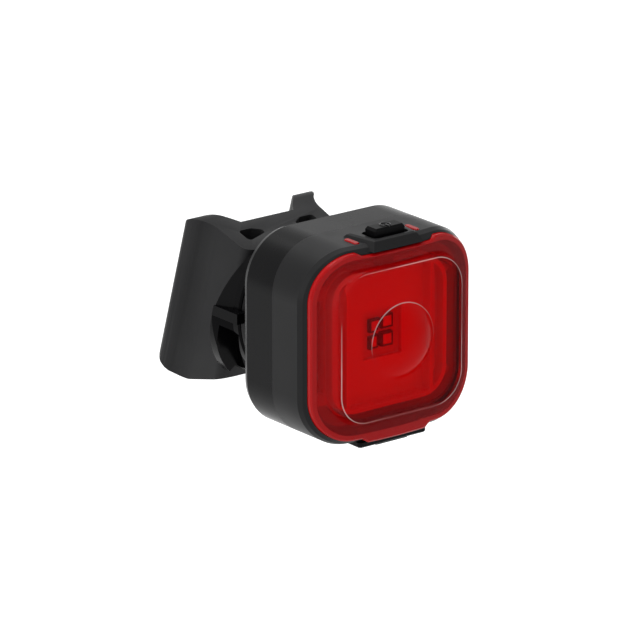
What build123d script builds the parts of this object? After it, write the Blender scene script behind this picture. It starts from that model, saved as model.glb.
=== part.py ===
from build123d import *
from math import atan2, cos, degrees, radians, sin, sqrt, tan
import os

# Rear light for a bicycle, strapped to the seatpost. Millimetres, +Z up, the light shines towards -Y.
# The origin is the middle of the saddle's floor, where the seatpost rests.
# Depths are measured backwards from the lens's side rims, heights from the lamp's own axis.

# The lamp's body
body_width = 46.8
body_height = 45.2
body_radius = 11.8
seam_depth = 12.0
body_depth = 24.0
wall = 2.0
front_bow = 2.8
overrun = 30.0

# The mount behind it: a boss, a hub on the boss, and the saddle that the leaning post lies in
post_lean = 17
boss_radius = 18.0
boss_length = 6.9
hub_thickness = 7.1
saddle_depth = 11.1
lamp_rise = 0.9

# Fits
fit_gap = 0.1
moving_gap = 0.35
running_gap = 0.05

# The lens's outline, which the cover and the gasket follow
side_margin = 1.2
top_margin = 1.0
bottom_margin = 1.4
lens_radius = 10.6
lens_flange_depth = 1.6
dip_shoulder = 2.1
dip_depth = 0.8
chin_shoulder = 3.6
chin_depth = 1.05
step_length = 1.4
step_round = 0.8

# Layers behind the lens
gasket_thickness = 0.5
ledge_width = 2.7
board_depth = 4.0
led_board_thickness = 1.2
main_board_depth = 8.0
main_board_thickness = 1.0

# Corner posts that the case screws pull together
post_side_inset = 6.3
post_end_inset = 7.2
post_radius = 3.3
post_neck_radius = 2.5
screw_radius = 0.9

# The power button's place on top: its surround narrows to the front
surround_width = 14.0
surround_rise = 0.9
surround_front_depth = -1.5
surround_back_depth = 6.2
surround_taper_share = 0.17
well_width = 9.9
well_front_depth = -0.75
well_back_depth = 4.75
well_radius = 1.3
skirt_sink = 0.7
button_travel = 0.4
stem_radius = 0.6
stem_depth = 3.15
plunger_sink = 2.8
switch_sink = 3.9

# The status windows beside it
window_across = 8.4
window_width = 1.4
window_length = 4.4
window_sink = 1.3
window_foot_depth = 2.5
window_foot_length = 1.4
window_foot_sink = 3.4

# The charging port underneath
port_depth = 6.4
port_width = 8.94
port_thickness = 3.2
port_length = 7.3
port_sink = 1.7
port_block_rise = 3.0
flap_width = 19.0
flap_thickness = 1.2
flap_drop = 1.15
flap_front_depth = -1.3
flap_hinge_inset = 2.6
anchor_width = 12.0
anchor_length = 1.3
anchor_stem_width = 8.0
anchor_stem_length = 0.8

# The threaded insert in the boss
insert_radius = 3.0
insert_inset = 0.2
insert_length = 6.1

# A soft edge is cut in three flats, which lie on the round that they stand for
middle_flat_share = 2 - sqrt(2)
side_flat_share = tan(radians(22.5)) - tan(radians(11.25))
square_share = 0.01
quarter_turn = 90

lean_sin = sin(radians(post_lean))
lean_cos = cos(radians(post_lean))
boss_end_depth = body_depth + boss_length
hub_face_depth = boss_end_depth + hub_thickness
mount_z = -saddle_depth * lean_sin
lamp_y = -(hub_face_depth + saddle_depth * lean_cos)
lamp_z = mount_z + lamp_rise
half_height = body_height / 2
lens_width = body_width - 2 * side_margin
lens_height = body_height - top_margin - bottom_margin
lens_rise = (bottom_margin - top_margin) / 2
bow_radius = ((lens_width / 2) ** 2 + front_bow ** 2) / (2 * front_bow)
ledge_depth = lens_flange_depth + gasket_thickness
opening_width = lens_width - 2 * ledge_width
opening_height = lens_height - 2 * ledge_width
opening_radius = lens_radius - ledge_width
chamber_width = body_width - 2 * wall
chamber_height = body_height - 2 * wall
chamber_radius = body_radius - wall
seal_width = 1.0
seal_thickness = 1.0
seal_outline = (chamber_width + seal_width, chamber_height + seal_width, chamber_radius + seal_width / 2)
surround_top = half_height + surround_rise
skirt_bottom = half_height - skirt_sink
pocket_floor = skirt_bottom - button_travel - moving_gap
plunger_top = half_height - plunger_sink
switch_top = half_height - switch_sink
window_bottom = half_height - window_sink
window_foot_bottom = half_height - window_foot_sink
flap_bottom = -half_height - flap_drop
flap_top = flap_bottom + flap_thickness
flap_hinge_depth = seam_depth - flap_hinge_inset
port_mouth = port_sink - half_height
port_block_top = port_block_rise - half_height
port_notch_width = port_width + 2 * moving_gap
port_notch_top = port_mouth + port_length + moving_gap
insert_depth = boss_end_depth - insert_inset - insert_length


def across(depth):
    """Plane across the lamp's axis at that depth: local y is up and extrusions go forward."""
    return Plane(origin=(0, lamp_y + depth, lamp_z), x_dir=(1, 0, 0), z_dir=(0, -1, 0))


def level(height):
    """Horizontal plane at that height over the lamp's axis: local y is depth, extrusions go up."""
    return Plane(origin=(0, lamp_y, lamp_z + height), x_dir=(1, 0, 0), z_dir=(0, 0, 1))


def across_boss(depth):
    """Plane like those across the lamp's axis, centred on the boss."""
    return Plane(origin=(0, lamp_y + depth, mount_z), x_dir=(1, 0, 0), z_dir=(0, -1, 0))


def along_post(distance):
    """Plane across the seatpost, that far up it: local y runs back from the hub's slanted face."""
    base = (0, lamp_y + hub_face_depth - distance * lean_sin, mount_z + distance * lean_cos)
    return Plane(origin=base, x_dir=(1, 0, 0), z_dir=(0, -lean_sin, lean_cos))


def beside_post(offset):
    """Plane beside the seatpost: local x runs back from the hub's face, local y up the post."""
    base = (offset, lamp_y + hub_face_depth, mount_z)
    return Plane(origin=base, x_dir=(0, lean_cos, lean_sin), z_dir=(1, 0, 0))


def spoke(angle):
    """Half plane through the boss's axis at that angle: local x runs outwards, local y is depth."""
    out = (cos(radians(angle)), 0, sin(radians(angle)))
    return Plane(origin=(0, lamp_y, mount_z), x_dir=out, z_dir=(-out[2], 0, out[0]))


# The hub's slanted face: local y runs up the seatpost and extrusions go back towards it.
hub_face = Plane(origin=(0, lamp_y + hub_face_depth, mount_z), x_dir=(-1, 0, 0),
                 z_dir=(0, lean_cos, lean_sin))
boss_axis = Axis((0, lamp_y, mount_z), (0, 1, 0))
lens_axis = Axis((0, lamp_y, lamp_z + lens_rise), (0, 1, 0))
post_across = body_width / 2 - post_side_inset
post_up = half_height - post_end_inset
post_places = [(x * post_across, z * post_up) for x in (-1, 1) for z in (-1, 1)]
window_middle = (window_foot_depth + window_foot_length + window_length / 2) / 2
window_places = [(-window_across, window_middle), (window_across, window_middle)]
foot_middle = window_foot_depth + window_foot_length / 2
foot_places = [(-window_across, foot_middle), (window_across, foot_middle)]


def bowed_plan(middle_depth, back_depth):
    """Plan of a slab whose front bows forward; middle_depth is where its middle reaches."""
    half = body_width / 2
    side_depth = middle_depth + bow_radius - sqrt(bow_radius ** 2 - half ** 2)
    with BuildSketch() as plan:
        with BuildLine():
            ThreePointArc((-half, side_depth), (0, middle_depth), (half, side_depth))
            Polyline((half, side_depth), (half, back_depth), (-half, back_depth), (-half, side_depth))
        make_face()
    return plan.sketch


def lens_outline(grow):
    """The lens from the front: a rounded square, dipped for the button and with a chin below."""
    top = lens_rise + lens_height / 2
    bottom = lens_rise - lens_height / 2
    dip = lens_width / 2 - lens_radius - dip_shoulder
    chin = lens_width / 2 - lens_radius - chin_shoulder
    with BuildSketch() as outline:
        with Locations((0, lens_rise)):
            RectangleRounded(lens_width, lens_height, lens_radius)
        with BuildLine():
            Polyline((-dip - step_length, top), (-dip, top - dip_depth), (dip, top - dip_depth),
                     (dip + step_length, top), (0, top + dip_depth), close=True)
        make_face(mode=Mode.SUBTRACT)
        with BuildLine():
            Polyline((-chin - step_length, bottom), (-chin, bottom - chin_depth), (chin, bottom - chin_depth),
                     (chin + step_length, bottom), (0, lens_rise), close=True)
        make_face()
        steps = [v for v in outline.vertices() if abs(v.X) < dip + step_length + dip_shoulder / 4]
        fillet(steps, radius=step_round)
        if grow:
            offset(amount=grow)
    return outline.sketch


def lens_square(width, height, radius):
    """A rounded rectangle centred on the lens."""
    with BuildSketch() as square:
        with Locations((0, lens_rise)):
            RectangleRounded(width, height, radius)
    return square.sketch


def button_plan():
    """Plan of the button's surround at its top, where it narrows to the front."""
    back_half = surround_width / 2
    front_half = back_half - (surround_back_depth - surround_front_depth) * surround_taper_share
    with BuildSketch() as plan:
        with BuildLine():
            Polyline((-front_half, surround_front_depth), (front_half, surround_front_depth),
                     (back_half, surround_back_depth), (-back_half, surround_back_depth), close=True)
        make_face()
    return plan.sketch


def button_well(inset):
    """Plan of the well in the surround, or of what lies inset from it."""
    with BuildSketch() as plan:
        with Locations((0, (well_front_depth + well_back_depth) / 2)):
            RectangleRounded(well_width - 2 * inset, well_back_depth - well_front_depth - 2 * inset,
                             well_radius - inset)
    return plan.sketch


def wall_ends(piece, end):
    """The edges at that end, 0 for the front and -1 for the back, of the walls along the lamp's axis."""
    walls = [face for face in piece.faces() if abs(face.normal_at().Y) < square_share]
    return [face.edges().sort_by(Axis.Y)[end] for face in walls]


# Front cover: the matt frame round the lens, open at the back. It carries the button's raised
# surround, the ledge for the lens, the four screw posts and the block round the charging port.
cover_round = 3.4
cover_front_depth = -2.7
surround_slope = 36
surround_edge = 0.35
port_block_front = 2.9
port_block_back = seam_depth - seal_thickness
flap_recess_width = flap_width + 2 * moving_gap
flap_recess_front = flap_front_depth - moving_gap
anchor_front = flap_hinge_depth + moving_gap

with BuildPart() as front_cover:
    with BuildSketch(across(seam_depth)):
        RectangleRounded(body_width, body_height, body_radius)
    extrude(amount=seam_depth - 2 * cover_front_depth)
    with BuildSketch(level(-body_height)):
        add(bowed_plan(cover_front_depth, seam_depth))
    extrude(amount=2 * body_height, mode=Mode.INTERSECT)
    chamfer(front_cover.faces().sort_by(Axis.Y)[0].edges(), length=cover_round * middle_flat_share)
    chamfer(front_cover.faces().sort_by(Axis.Y)[0].edges(), length=cover_round * side_flat_share)
    chamfer(wall_ends(front_cover, 0), length=cover_round * side_flat_share)
    with BuildSketch(level(surround_top)):
        add(button_plan())
    extrude(amount=window_bottom - surround_top, taper=-surround_slope)
    chamfer(front_cover.faces().sort_by(Axis.Z)[-1].edges(), length=surround_edge)
    with BuildSketch(across(ledge_depth)):
        add(lens_outline(fit_gap))
    extrude(amount=overrun, mode=Mode.SUBTRACT)
    with BuildSketch(across(board_depth)):
        add(lens_square(opening_width, opening_height, opening_radius))
    extrude(amount=overrun, mode=Mode.SUBTRACT)
    with BuildSketch(across(seam_depth)):
        RectangleRounded(chamber_width, chamber_height, chamber_radius)
    extrude(amount=seam_depth - board_depth, mode=Mode.SUBTRACT)
    with BuildSketch(across(seam_depth)):
        RectangleRounded(*seal_outline)
    extrude(amount=seal_thickness, mode=Mode.SUBTRACT)
    with BuildSketch(across(main_board_depth)):
        with Locations(*post_places):
            Circle(post_radius)
    extrude(amount=main_board_depth - board_depth)
    with BuildSketch(across(seam_depth)):
        with Locations(*post_places):
            Circle(post_neck_radius)
    extrude(amount=seam_depth - board_depth)
    with BuildSketch(across(seam_depth)):
        with Locations(*post_places):
            Circle(screw_radius + running_gap)
    extrude(amount=seam_depth - board_depth, mode=Mode.SUBTRACT)
    with BuildSketch(level(-chamber_height / 2 - wall / 2)):
        with Locations((0, (port_block_front + port_block_back) / 2)):
            Rectangle(flap_recess_width, port_block_back - port_block_front)
    extrude(amount=chamber_height / 2 + wall / 2 + port_block_top)
    with BuildSketch(level(pocket_floor)):
        add(button_well(0))
    extrude(amount=overrun, mode=Mode.SUBTRACT)
    with BuildSketch(level(0)):
        with Locations((0, stem_depth)):
            Circle(stem_radius + moving_gap)
    extrude(amount=overrun, mode=Mode.SUBTRACT)
    with BuildSketch(level(window_bottom)):
        with Locations(*window_places):
            SlotOverall(window_length + 2 * fit_gap, window_width + 2 * fit_gap, rotation=90)
    extrude(amount=overrun, mode=Mode.SUBTRACT)
    with BuildSketch(level(0)):
        with Locations(*foot_places):
            Rectangle(window_width + 2 * fit_gap, window_foot_length + 2 * fit_gap)
    extrude(amount=overrun, mode=Mode.SUBTRACT)
    with BuildSketch(level(-overrun)):
        with Locations((0, (flap_recess_front + anchor_front) / 2)):
            Rectangle(flap_recess_width, anchor_front - flap_recess_front)
        with Locations((0, anchor_front + anchor_length / 2)):
            Rectangle(anchor_width + 2 * fit_gap, anchor_length + 2 * fit_gap)
    extrude(amount=overrun + flap_top + moving_gap, mode=Mode.SUBTRACT)
    with BuildSketch(level(-overrun)):
        with Locations((0, port_depth)):
            SlotOverall(port_width + 2 * fit_gap, port_thickness + 2 * fit_gap)
        with Locations((0, anchor_front + anchor_length / 2)):
            Rectangle(anchor_stem_width + 2 * fit_gap, anchor_stem_length + 2 * fit_gap)
    extrude(amount=overrun + port_block_top + wall / 2, mode=Mode.SUBTRACT)

# Lens: one clear red moulding. Its rim bows with the cover, and from it rises a flat plateau
# with a bevelled edge and a round dome over the main diodes.
lens_proud = 0.2
lens_edge = 0.35
plateau_side_margin = 5.2
plateau_end_margin = 4.15
plateau_radius = 7.5
plateau_front = 4.3
plateau_bevel = 21.5
plateau_root = 0.5
plateau_edge = 0.4
lens_wall = 2.0
pocket_inset = 0.8
dome_radius = 8.65
dome_height = 4.0
plateau_width = lens_width - 2 * plateau_side_margin
plateau_height = lens_height - 2 * plateau_end_margin
pocket_width = plateau_width - 2 * pocket_inset
pocket_height = plateau_height - 2 * pocket_inset
pocket_radius = plateau_radius - pocket_inset

with BuildPart() as lens:
    with BuildSketch(across(lens_flange_depth)):
        add(lens_outline(0))
    extrude(amount=lens_flange_depth + 2 * front_bow)
    with BuildSketch(level(-body_height)):
        add(bowed_plan(-front_bow - lens_proud, lens_flange_depth))
    extrude(amount=2 * body_height, mode=Mode.INTERSECT)
    chamfer(lens.faces().sort_by(Axis.Y)[0].edges(), length=lens_edge)
    root_grow = (plateau_front + plateau_root) * tan(radians(plateau_bevel))
    with BuildSketch(across(plateau_root)):
        add(lens_square(plateau_width + 2 * root_grow, plateau_height + 2 * root_grow,
                        plateau_radius + root_grow))
    extrude(amount=plateau_front + plateau_root, taper=plateau_bevel)
    chamfer(lens.faces().sort_by(Axis.Y)[0].edges(), length=plateau_edge)
    with BuildSketch(level(lens_rise)):
        with BuildLine():
            dome_curve = (dome_radius ** 2 + dome_height ** 2) / (2 * dome_height)
            dome_middle = dome_curve - dome_height - plateau_front
            dome_sweep = degrees(atan2(dome_radius, dome_curve - dome_height))
            CenterArc((0, dome_middle), dome_curve, -quarter_turn, dome_sweep)
            Polyline((dome_radius, -plateau_front), (dome_radius, -plateau_front + lens_wall / 2),
                     (0, -plateau_front + lens_wall / 2), (0, -plateau_front - dome_height))
        make_face()
    revolve(axis=lens_axis)
    with BuildSketch(across(lens_flange_depth)):
        add(lens_square(pocket_width, pocket_height, pocket_radius))
    extrude(amount=lens_flange_depth + plateau_front - lens_wall, mode=Mode.SUBTRACT)

# Lens gasket: a soft ring that the lens presses onto the cover's ledge.
with BuildPart() as lens_gasket:
    with BuildSketch(across(ledge_depth)):
        add(lens_outline(0))
        add(lens_square(opening_width, opening_height, opening_radius), mode=Mode.SUBTRACT)
    extrude(amount=gasket_thickness)

# Light tray: the white moulding seen through the lens, with a square window for the main diodes,
# a low wall that follows the lens's hollow, two ribs and an ear for each of its four pins.
tray_thickness = 1.1
tray_wall = 1.0
tray_wall_front = 0.2
tray_window = 11.0
tray_margin = 0.3
tray_ear_radius = 1.4
tray_rib_width = 0.9
tray_rib_share = 0.36
pin_radius = 1.2
pin_side_inset = 4.5
pin_end_inset = 9.35
pin_head = 0.8
pin_edge = 0.35
switch_width = 4.6
switch_height = 2.6
switch_depth = 1.7
status_size = 1.2
pin_across = lens_width / 2 - pin_side_inset
pin_up = lens_height / 2 - pin_end_inset
status_up = window_foot_bottom - fit_gap - status_size / 2
status_places = [(-window_across, status_up), (window_across, status_up)]
pin_places = [(x * pin_across, lens_rise + z * pin_up) for x in (-1, 1) for z in (-1, 1)]

with BuildPart() as light_tray:
    with BuildSketch(across(board_depth)):
        add(lens_square(pocket_width + 2 * tray_margin, pocket_height + 2 * tray_margin,
                        pocket_radius + tray_margin))
        with Locations((0, lens_rise - pin_up), (0, lens_rise + pin_up)):
            SlotCenterToCenter(2 * pin_across, 2 * tray_ear_radius)
    extrude(amount=tray_thickness)
    with BuildSketch(across(board_depth)):
        for inset, mode in ((moving_gap, Mode.ADD), (moving_gap + tray_wall, Mode.SUBTRACT)):
            add(lens_square(pocket_width - 2 * inset, pocket_height - 2 * inset, pocket_radius - inset),
                mode=mode)
        rib_across = pocket_width * tray_rib_share
        with Locations((-rib_across, lens_rise), (rib_across, lens_rise)):
            Rectangle(tray_rib_width, pocket_height - 2 * tray_wall)
    extrude(amount=board_depth - tray_wall_front)
    with BuildSketch(across(board_depth)):
        with Locations((0, lens_rise)):
            Rectangle(tray_window, tray_window)
        with Locations((0, switch_top - switch_height / 2 + wall)):
            Rectangle(switch_width + 2 * moving_gap, switch_height + 2 * wall)
        with Locations(*pin_places):
            Circle(pin_radius / 2 + running_gap)
    extrude(amount=overrun, mode=Mode.SUBTRACT)

# Tray pins: four domed pins that hold the tray down on the diode board.
with BuildPart() as tray_pins:
    with BuildSketch(across(board_depth)):
        with Locations(*pin_places):
            Circle(pin_radius / 2)
    extrude(amount=tray_thickness)
    with BuildSketch(across(board_depth - tray_thickness)):
        with Locations(*pin_places):
            Circle(pin_radius)
    extrude(amount=pin_head)
    chamfer(tray_pins.faces().sort_by(Axis.Y)[:4].edges(), length=pin_edge)

# Main diodes: four square packages in a block of two by two, on the front of their board.
diode_size = 3.0
diode_spacing = 3.9
diode_height = 1.0

with BuildPart() as main_leds:
    with BuildSketch(across(board_depth)):
        with Locations((0, lens_rise)):
            with GridLocations(diode_spacing, diode_spacing, 2, 2):
                Rectangle(diode_size, diode_size)
    extrude(amount=diode_height)

# Status diodes: two small packages under the feet of the status windows.
status_height = 0.7

with BuildPart() as status_leds:
    with BuildSketch(across(board_depth)):
        with Locations(*status_places):
            Rectangle(status_size, status_size)
    extrude(amount=status_height)

# Diode board: an aluminium-cored board that rests against the back of the cover's ledge.
board_overlap = 0.9
led_board_width = opening_width + 2 * board_overlap
led_board_height = opening_height + 2 * board_overlap
led_board_radius = opening_radius + board_overlap

with BuildPart() as led_board:
    with BuildSketch(across(board_depth + led_board_thickness)):
        add(lens_square(led_board_width, led_board_height, led_board_radius))
        with Locations(*post_places):
            Circle(post_radius + fit_gap, mode=Mode.SUBTRACT)
        with Locations((0, port_notch_top - led_board_height / 2)):
            Rectangle(port_notch_width, led_board_height, mode=Mode.SUBTRACT)
    extrude(amount=led_board_thickness)

# Heat spreader: a thin plate on the back of the diode board.
spreader_inset = 5.8
spreader_thickness = 1.0
spreader_radius = 3.0

with BuildPart() as heat_spreader:
    with BuildSketch(across(board_depth + led_board_thickness + spreader_thickness)):
        add(lens_square(led_board_width - 2 * spreader_inset, led_board_height - 2 * spreader_inset,
                        spreader_radius))
        with Locations((0, port_notch_top - led_board_height / 2)):
            Rectangle(port_notch_width, led_board_height, mode=Mode.SUBTRACT)
    extrude(amount=spreader_thickness)

# Board header: the strip that joins the diode board to the main board.
header_width = 12.0
header_height = 2.4
header_sink = 5.8

with BuildPart() as board_header:
    with BuildSketch(across(main_board_depth)):
        with Locations((0, half_height - header_sink)):
            Rectangle(header_width, header_height)
    extrude(amount=main_board_depth - board_depth - led_board_thickness)

# Main board: it sits on the shoulders of the cover's posts and carries the charging port.
main_board_side_gap = 0.7
main_board_end_gap = 0.2
main_board_width = chamber_width - 2 * main_board_side_gap
main_board_height = -2 * port_block_top - 2 * main_board_end_gap
main_board_radius = 7.5

with BuildPart() as main_board:
    with BuildSketch(across(main_board_depth + main_board_thickness)):
        RectangleRounded(main_board_width, main_board_height, main_board_radius)
        with Locations(*post_places):
            Circle(post_neck_radius + fit_gap, mode=Mode.SUBTRACT)
    extrude(amount=main_board_thickness)

# Board chips: the charger, the controller and the coil on the back of the main board.
chip_height = 0.9
chip_places = [(-9.0, 8.0), (3.0, 6.0), (10.0, -6.0)]
chip_sizes = [(4.0, 4.0), (6.0, 5.0), (5.0, 5.0)]

with BuildPart() as board_chips:
    with BuildSketch(across(main_board_depth + main_board_thickness)):
        for place, size in zip(chip_places, chip_sizes):
            with Locations(place):
                Rectangle(*size)
    extrude(amount=-chip_height)

# Button switch: a small side-acting switch on the diode board, with a hole for its plunger.
plunger_stand = 0.8
plunger_bottom = switch_top - plunger_stand

with BuildPart() as button_switch:
    with BuildSketch(across(board_depth)):
        with Locations((0, switch_top - switch_height / 2)):
            Rectangle(switch_width, switch_height)
    extrude(amount=switch_depth)
    with BuildSketch(level(plunger_bottom - button_travel - fit_gap)):
        with Locations((0, stem_depth)):
            Circle(stem_radius + running_gap)
    extrude(amount=overrun, mode=Mode.SUBTRACT)

# Switch plunger: it stands in the switch and is pushed by the button's stem.
with BuildPart() as switch_plunger:
    with BuildSketch(level(plunger_bottom)):
        with Locations((0, stem_depth)):
            Circle(stem_radius)
    extrude(amount=plunger_top - plunger_bottom)

# Power button: the soft key, its wide skirt inside the surround and the stem under it.
key_inset = 0.75
key_rise = 2.6
key_edge = 0.55
skirt_thickness = 0.8
key_top = half_height + key_rise

with BuildPart() as power_button:
    with BuildSketch(level(skirt_bottom)):
        add(button_well(moving_gap))
    extrude(amount=skirt_thickness)
    with BuildSketch(level(skirt_bottom + skirt_thickness)):
        add(button_well(key_inset))
    extrude(amount=key_top - skirt_bottom - skirt_thickness)
    chamfer(power_button.faces().sort_by(Axis.Z)[-1].edges(), length=key_edge)
    with BuildSketch(level(plunger_top)):
        with Locations((0, stem_depth)):
            Circle(stem_radius)
    extrude(amount=skirt_bottom - plunger_top)

# Status windows: two clear red bars beside the button, each with a foot down to its diode.
window_rise = 0.25
window_edge = 0.2


def status_window(side):
    """The window on that side of the button."""
    with BuildPart() as window:
        with BuildSketch(level(window_bottom)):
            with Locations((side * window_across, window_middle)):
                SlotOverall(window_length, window_width, rotation=90)
        extrude(amount=half_height + window_rise - window_bottom)
        chamfer(window.faces().sort_by(Axis.Z)[-1].edges(), length=window_edge)
        with BuildSketch(level(window_foot_bottom)):
            with Locations((side * window_across, foot_middle)):
                Rectangle(window_width, window_foot_length)
        extrude(amount=window_bottom - window_foot_bottom)
    return window


status_window_left = status_window(-1)
status_window_right = status_window(1)

# Charging port: the metal shell of a small reversible socket and the tongue in it.
port_wall = 0.3
port_back_wall = 0.6
tongue_width = 6.7
tongue_thickness = 0.7
tongue_length = 5.0

with BuildPart() as port_shell:
    with BuildSketch(level(port_mouth)):
        with Locations((0, port_depth)):
            SlotOverall(port_width, port_thickness)
            SlotOverall(port_width - 2 * port_wall, port_thickness - 2 * port_wall, mode=Mode.SUBTRACT)
    extrude(amount=port_length)
    with BuildSketch(level(port_mouth + port_length)):
        with Locations((0, port_depth)):
            SlotOverall(port_width, port_thickness)
    extrude(amount=-port_back_wall)

with BuildPart() as port_tongue:
    with BuildSketch(level(port_mouth + port_length - port_back_wall)):
        with Locations((0, port_depth)):
            Rectangle(tongue_width, tongue_thickness)
    extrude(amount=-tongue_length)

# Port flap: the soft cover of the charging port, hinged along its back edge, with a low plug.
flap_radius = 1.0
flap_edge = 0.3
plug_gap = 0.4
plug_inset = port_wall + plug_gap
plug_height = 1.0
lip_width = 9.0
lip_length = 1.2
lip_radius = 0.4
lip_height = 0.3

with BuildPart() as port_flap:
    with BuildSketch(level(flap_bottom)):
        with Locations((0, (flap_front_depth + flap_hinge_depth) / 2)):
            RectangleRounded(flap_width, flap_hinge_depth - flap_front_depth, flap_radius)
    extrude(amount=flap_thickness)
    chamfer(port_flap.faces().sort_by(Axis.Z)[0].edges(), length=flap_edge)
    with BuildSketch(level(flap_top)):
        with Locations((0, port_depth)):
            SlotOverall(port_width - 2 * plug_inset, port_thickness - 2 * plug_inset)
    extrude(amount=plug_height)
    with BuildSketch(level(flap_bottom)):
        with Locations((0, flap_front_depth + lip_length)):
            RectangleRounded(lip_width, lip_length, lip_radius)
    extrude(amount=-lip_height)

# Port anchor: the flap's fixed root, with a stem through the cover and a head inside it.
anchor_head_thickness = 0.7
anchor_head_overlap = 0.6

with BuildPart() as port_anchor:
    with BuildSketch(level(flap_bottom)):
        with Locations((0, anchor_front + anchor_length / 2)):
            Rectangle(anchor_width, anchor_length)
    extrude(amount=flap_thickness + moving_gap)
    with BuildSketch(level(flap_top)):
        with Locations((0, anchor_front + anchor_length / 2)):
            Rectangle(anchor_stem_width, anchor_stem_length)
    extrude(amount=port_block_top - flap_top)
    with BuildSketch(level(port_block_top)):
        with Locations((0, anchor_front + anchor_length / 2)):
            Rectangle(anchor_stem_width, anchor_stem_length + 2 * anchor_head_overlap)
    extrude(amount=anchor_head_thickness)

# Case seal: the ring in the cover's back edge that the rear shell closes on.
with BuildPart() as case_seal:
    with BuildSketch(across(seam_depth)):
        RectangleRounded(*seal_outline)
        RectangleRounded(chamber_width, chamber_height, chamber_radius, mode=Mode.SUBTRACT)
    extrude(amount=seal_thickness)

# Rear shell: the glossy half, with the round boss for the mount moulded on its back.
shell_round = 3.6
shell_back_wall = 2.2
shell_post_radius = 3.0
boss_edge = 0.6
boss_wall = 2.4
boss_column_radius = 5.4
boss_rib = 1.2
boss_rib_turns = 3
head_radius = 2.1
head_height = 1.4
head_seat_inset = 2.0
head_seat_depth = body_depth - head_seat_inset
shell_length = body_depth - seam_depth
shell_floor = body_depth - shell_back_wall

with BuildPart() as rear_shell:
    with BuildSketch(across(seam_depth)):
        RectangleRounded(body_width, body_height, body_radius)
    extrude(amount=-shell_length)
    chamfer(rear_shell.faces().sort_by(Axis.Y)[-1].edges(), length=shell_round * middle_flat_share)
    chamfer(rear_shell.faces().sort_by(Axis.Y)[-1].edges(), length=shell_round * side_flat_share)
    chamfer(wall_ends(rear_shell, -1), length=shell_round * side_flat_share)
    with BuildSketch(across_boss(body_depth)):
        Circle(boss_radius)
    extrude(amount=-boss_length)
    chamfer(rear_shell.faces().sort_by(Axis.Y)[-1].edges(), length=boss_edge)
    with BuildSketch(across(seam_depth)):
        RectangleRounded(chamber_width, chamber_height, chamber_radius)
    extrude(amount=seam_depth - shell_floor, mode=Mode.SUBTRACT)
    with BuildSketch(across_boss(seam_depth)):
        Circle(boss_radius - boss_wall)
    extrude(amount=seam_depth - boss_end_depth + boss_wall, mode=Mode.SUBTRACT)
    with BuildSketch(across_boss(boss_end_depth - boss_wall)):
        Circle(boss_column_radius)
        with PolarLocations(0, boss_rib_turns):
            Rectangle(2 * boss_radius - boss_wall, boss_rib)
    extrude(amount=boss_end_depth - boss_wall - shell_floor)
    with BuildSketch(across(shell_floor)):
        with Locations(*post_places):
            Circle(shell_post_radius)
    extrude(amount=shell_floor - seam_depth)
    with BuildSketch(across(body_depth)):
        with Locations(*post_places):
            Circle(screw_radius + fit_gap)
    extrude(amount=shell_length, mode=Mode.SUBTRACT)
    with BuildSketch(across(body_depth)):
        with Locations(*post_places):
            Circle(head_radius + fit_gap)
    extrude(amount=body_depth - head_seat_depth, mode=Mode.SUBTRACT)
    with BuildSketch(across_boss(boss_end_depth)):
        Circle(insert_radius)
    extrude(amount=boss_end_depth - insert_depth, mode=Mode.SUBTRACT)

# Case screws: four small screws from the back, through the shell into the cover's posts.
screw_tip_inset = 1.5
screw_tip_depth = board_depth + screw_tip_inset
drive_radius = 1.0
drive_depth = 0.8

with BuildPart() as case_screws:
    with BuildSketch(across(head_seat_depth)):
        with Locations(*post_places):
            Circle(screw_radius)
    extrude(amount=head_seat_depth - screw_tip_depth)
    with BuildSketch(across(head_seat_depth)):
        with Locations(*post_places):
            Circle(head_radius)
    extrude(amount=-head_height)
    with BuildSketch(across(head_seat_depth + head_height)):
        with Locations(*post_places):
            RegularPolygon(drive_radius, 6)
    extrude(amount=drive_depth, mode=Mode.SUBTRACT)

# Battery: a flat pouch cell between the boards and the back of the shell.
battery_side_gap = 9.4
battery_end_gap = 8.8
battery_front_gap = 1.4
battery_radius = 1.2
battery_pad_thickness = 2.4
battery_width = body_width - 2 * battery_side_gap
battery_height = body_height - 2 * battery_end_gap
battery_front_depth = main_board_depth + main_board_thickness + battery_front_gap
battery_back_depth = shell_floor - battery_pad_thickness

with BuildPart() as battery_cell:
    with BuildSketch(across(battery_back_depth)):
        RectangleRounded(battery_width, battery_height, battery_radius)
    extrude(amount=battery_back_depth - battery_front_depth)

# Battery pad: foam that presses the cell forward from the shell's floor.
battery_pad_inset = 2.0

with BuildPart() as battery_pad:
    with BuildSketch(across(shell_floor)):
        Rectangle(battery_width - 2 * battery_pad_inset, battery_height - 2 * battery_pad_inset)
    extrude(amount=battery_pad_thickness)

# Mount insert: the threaded brass bush in the shell's boss.
mount_screw_radius = 1.9

with BuildPart() as mount_insert:
    with BuildSketch(across_boss(boss_end_depth - insert_inset)):
        Circle(insert_radius)
        Circle(mount_screw_radius + running_gap, mode=Mode.SUBTRACT)
    extrude(amount=insert_length)

# Mount screw: the socket-head screw that holds the hub on the boss.
mount_head_radius = 3.4
mount_head_height = 2.2
mount_head_inset = 1.3
mount_tip_gap = 0.6
mount_drive_radius = 1.7
mount_head_depth = boss_end_depth + mount_head_inset

with BuildPart() as mount_screw:
    with BuildSketch(across_boss(mount_head_depth)):
        Circle(mount_screw_radius)
    extrude(amount=mount_head_depth - insert_depth - mount_tip_gap)
    with BuildSketch(across_boss(mount_head_depth)):
        Circle(mount_head_radius)
    extrude(amount=-mount_head_height)
    with BuildSketch(across_boss(mount_head_depth + mount_head_height)):
        RegularPolygon(mount_drive_radius, 6)
    extrude(amount=mount_head_height / 2, mode=Mode.SUBTRACT)

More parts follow.
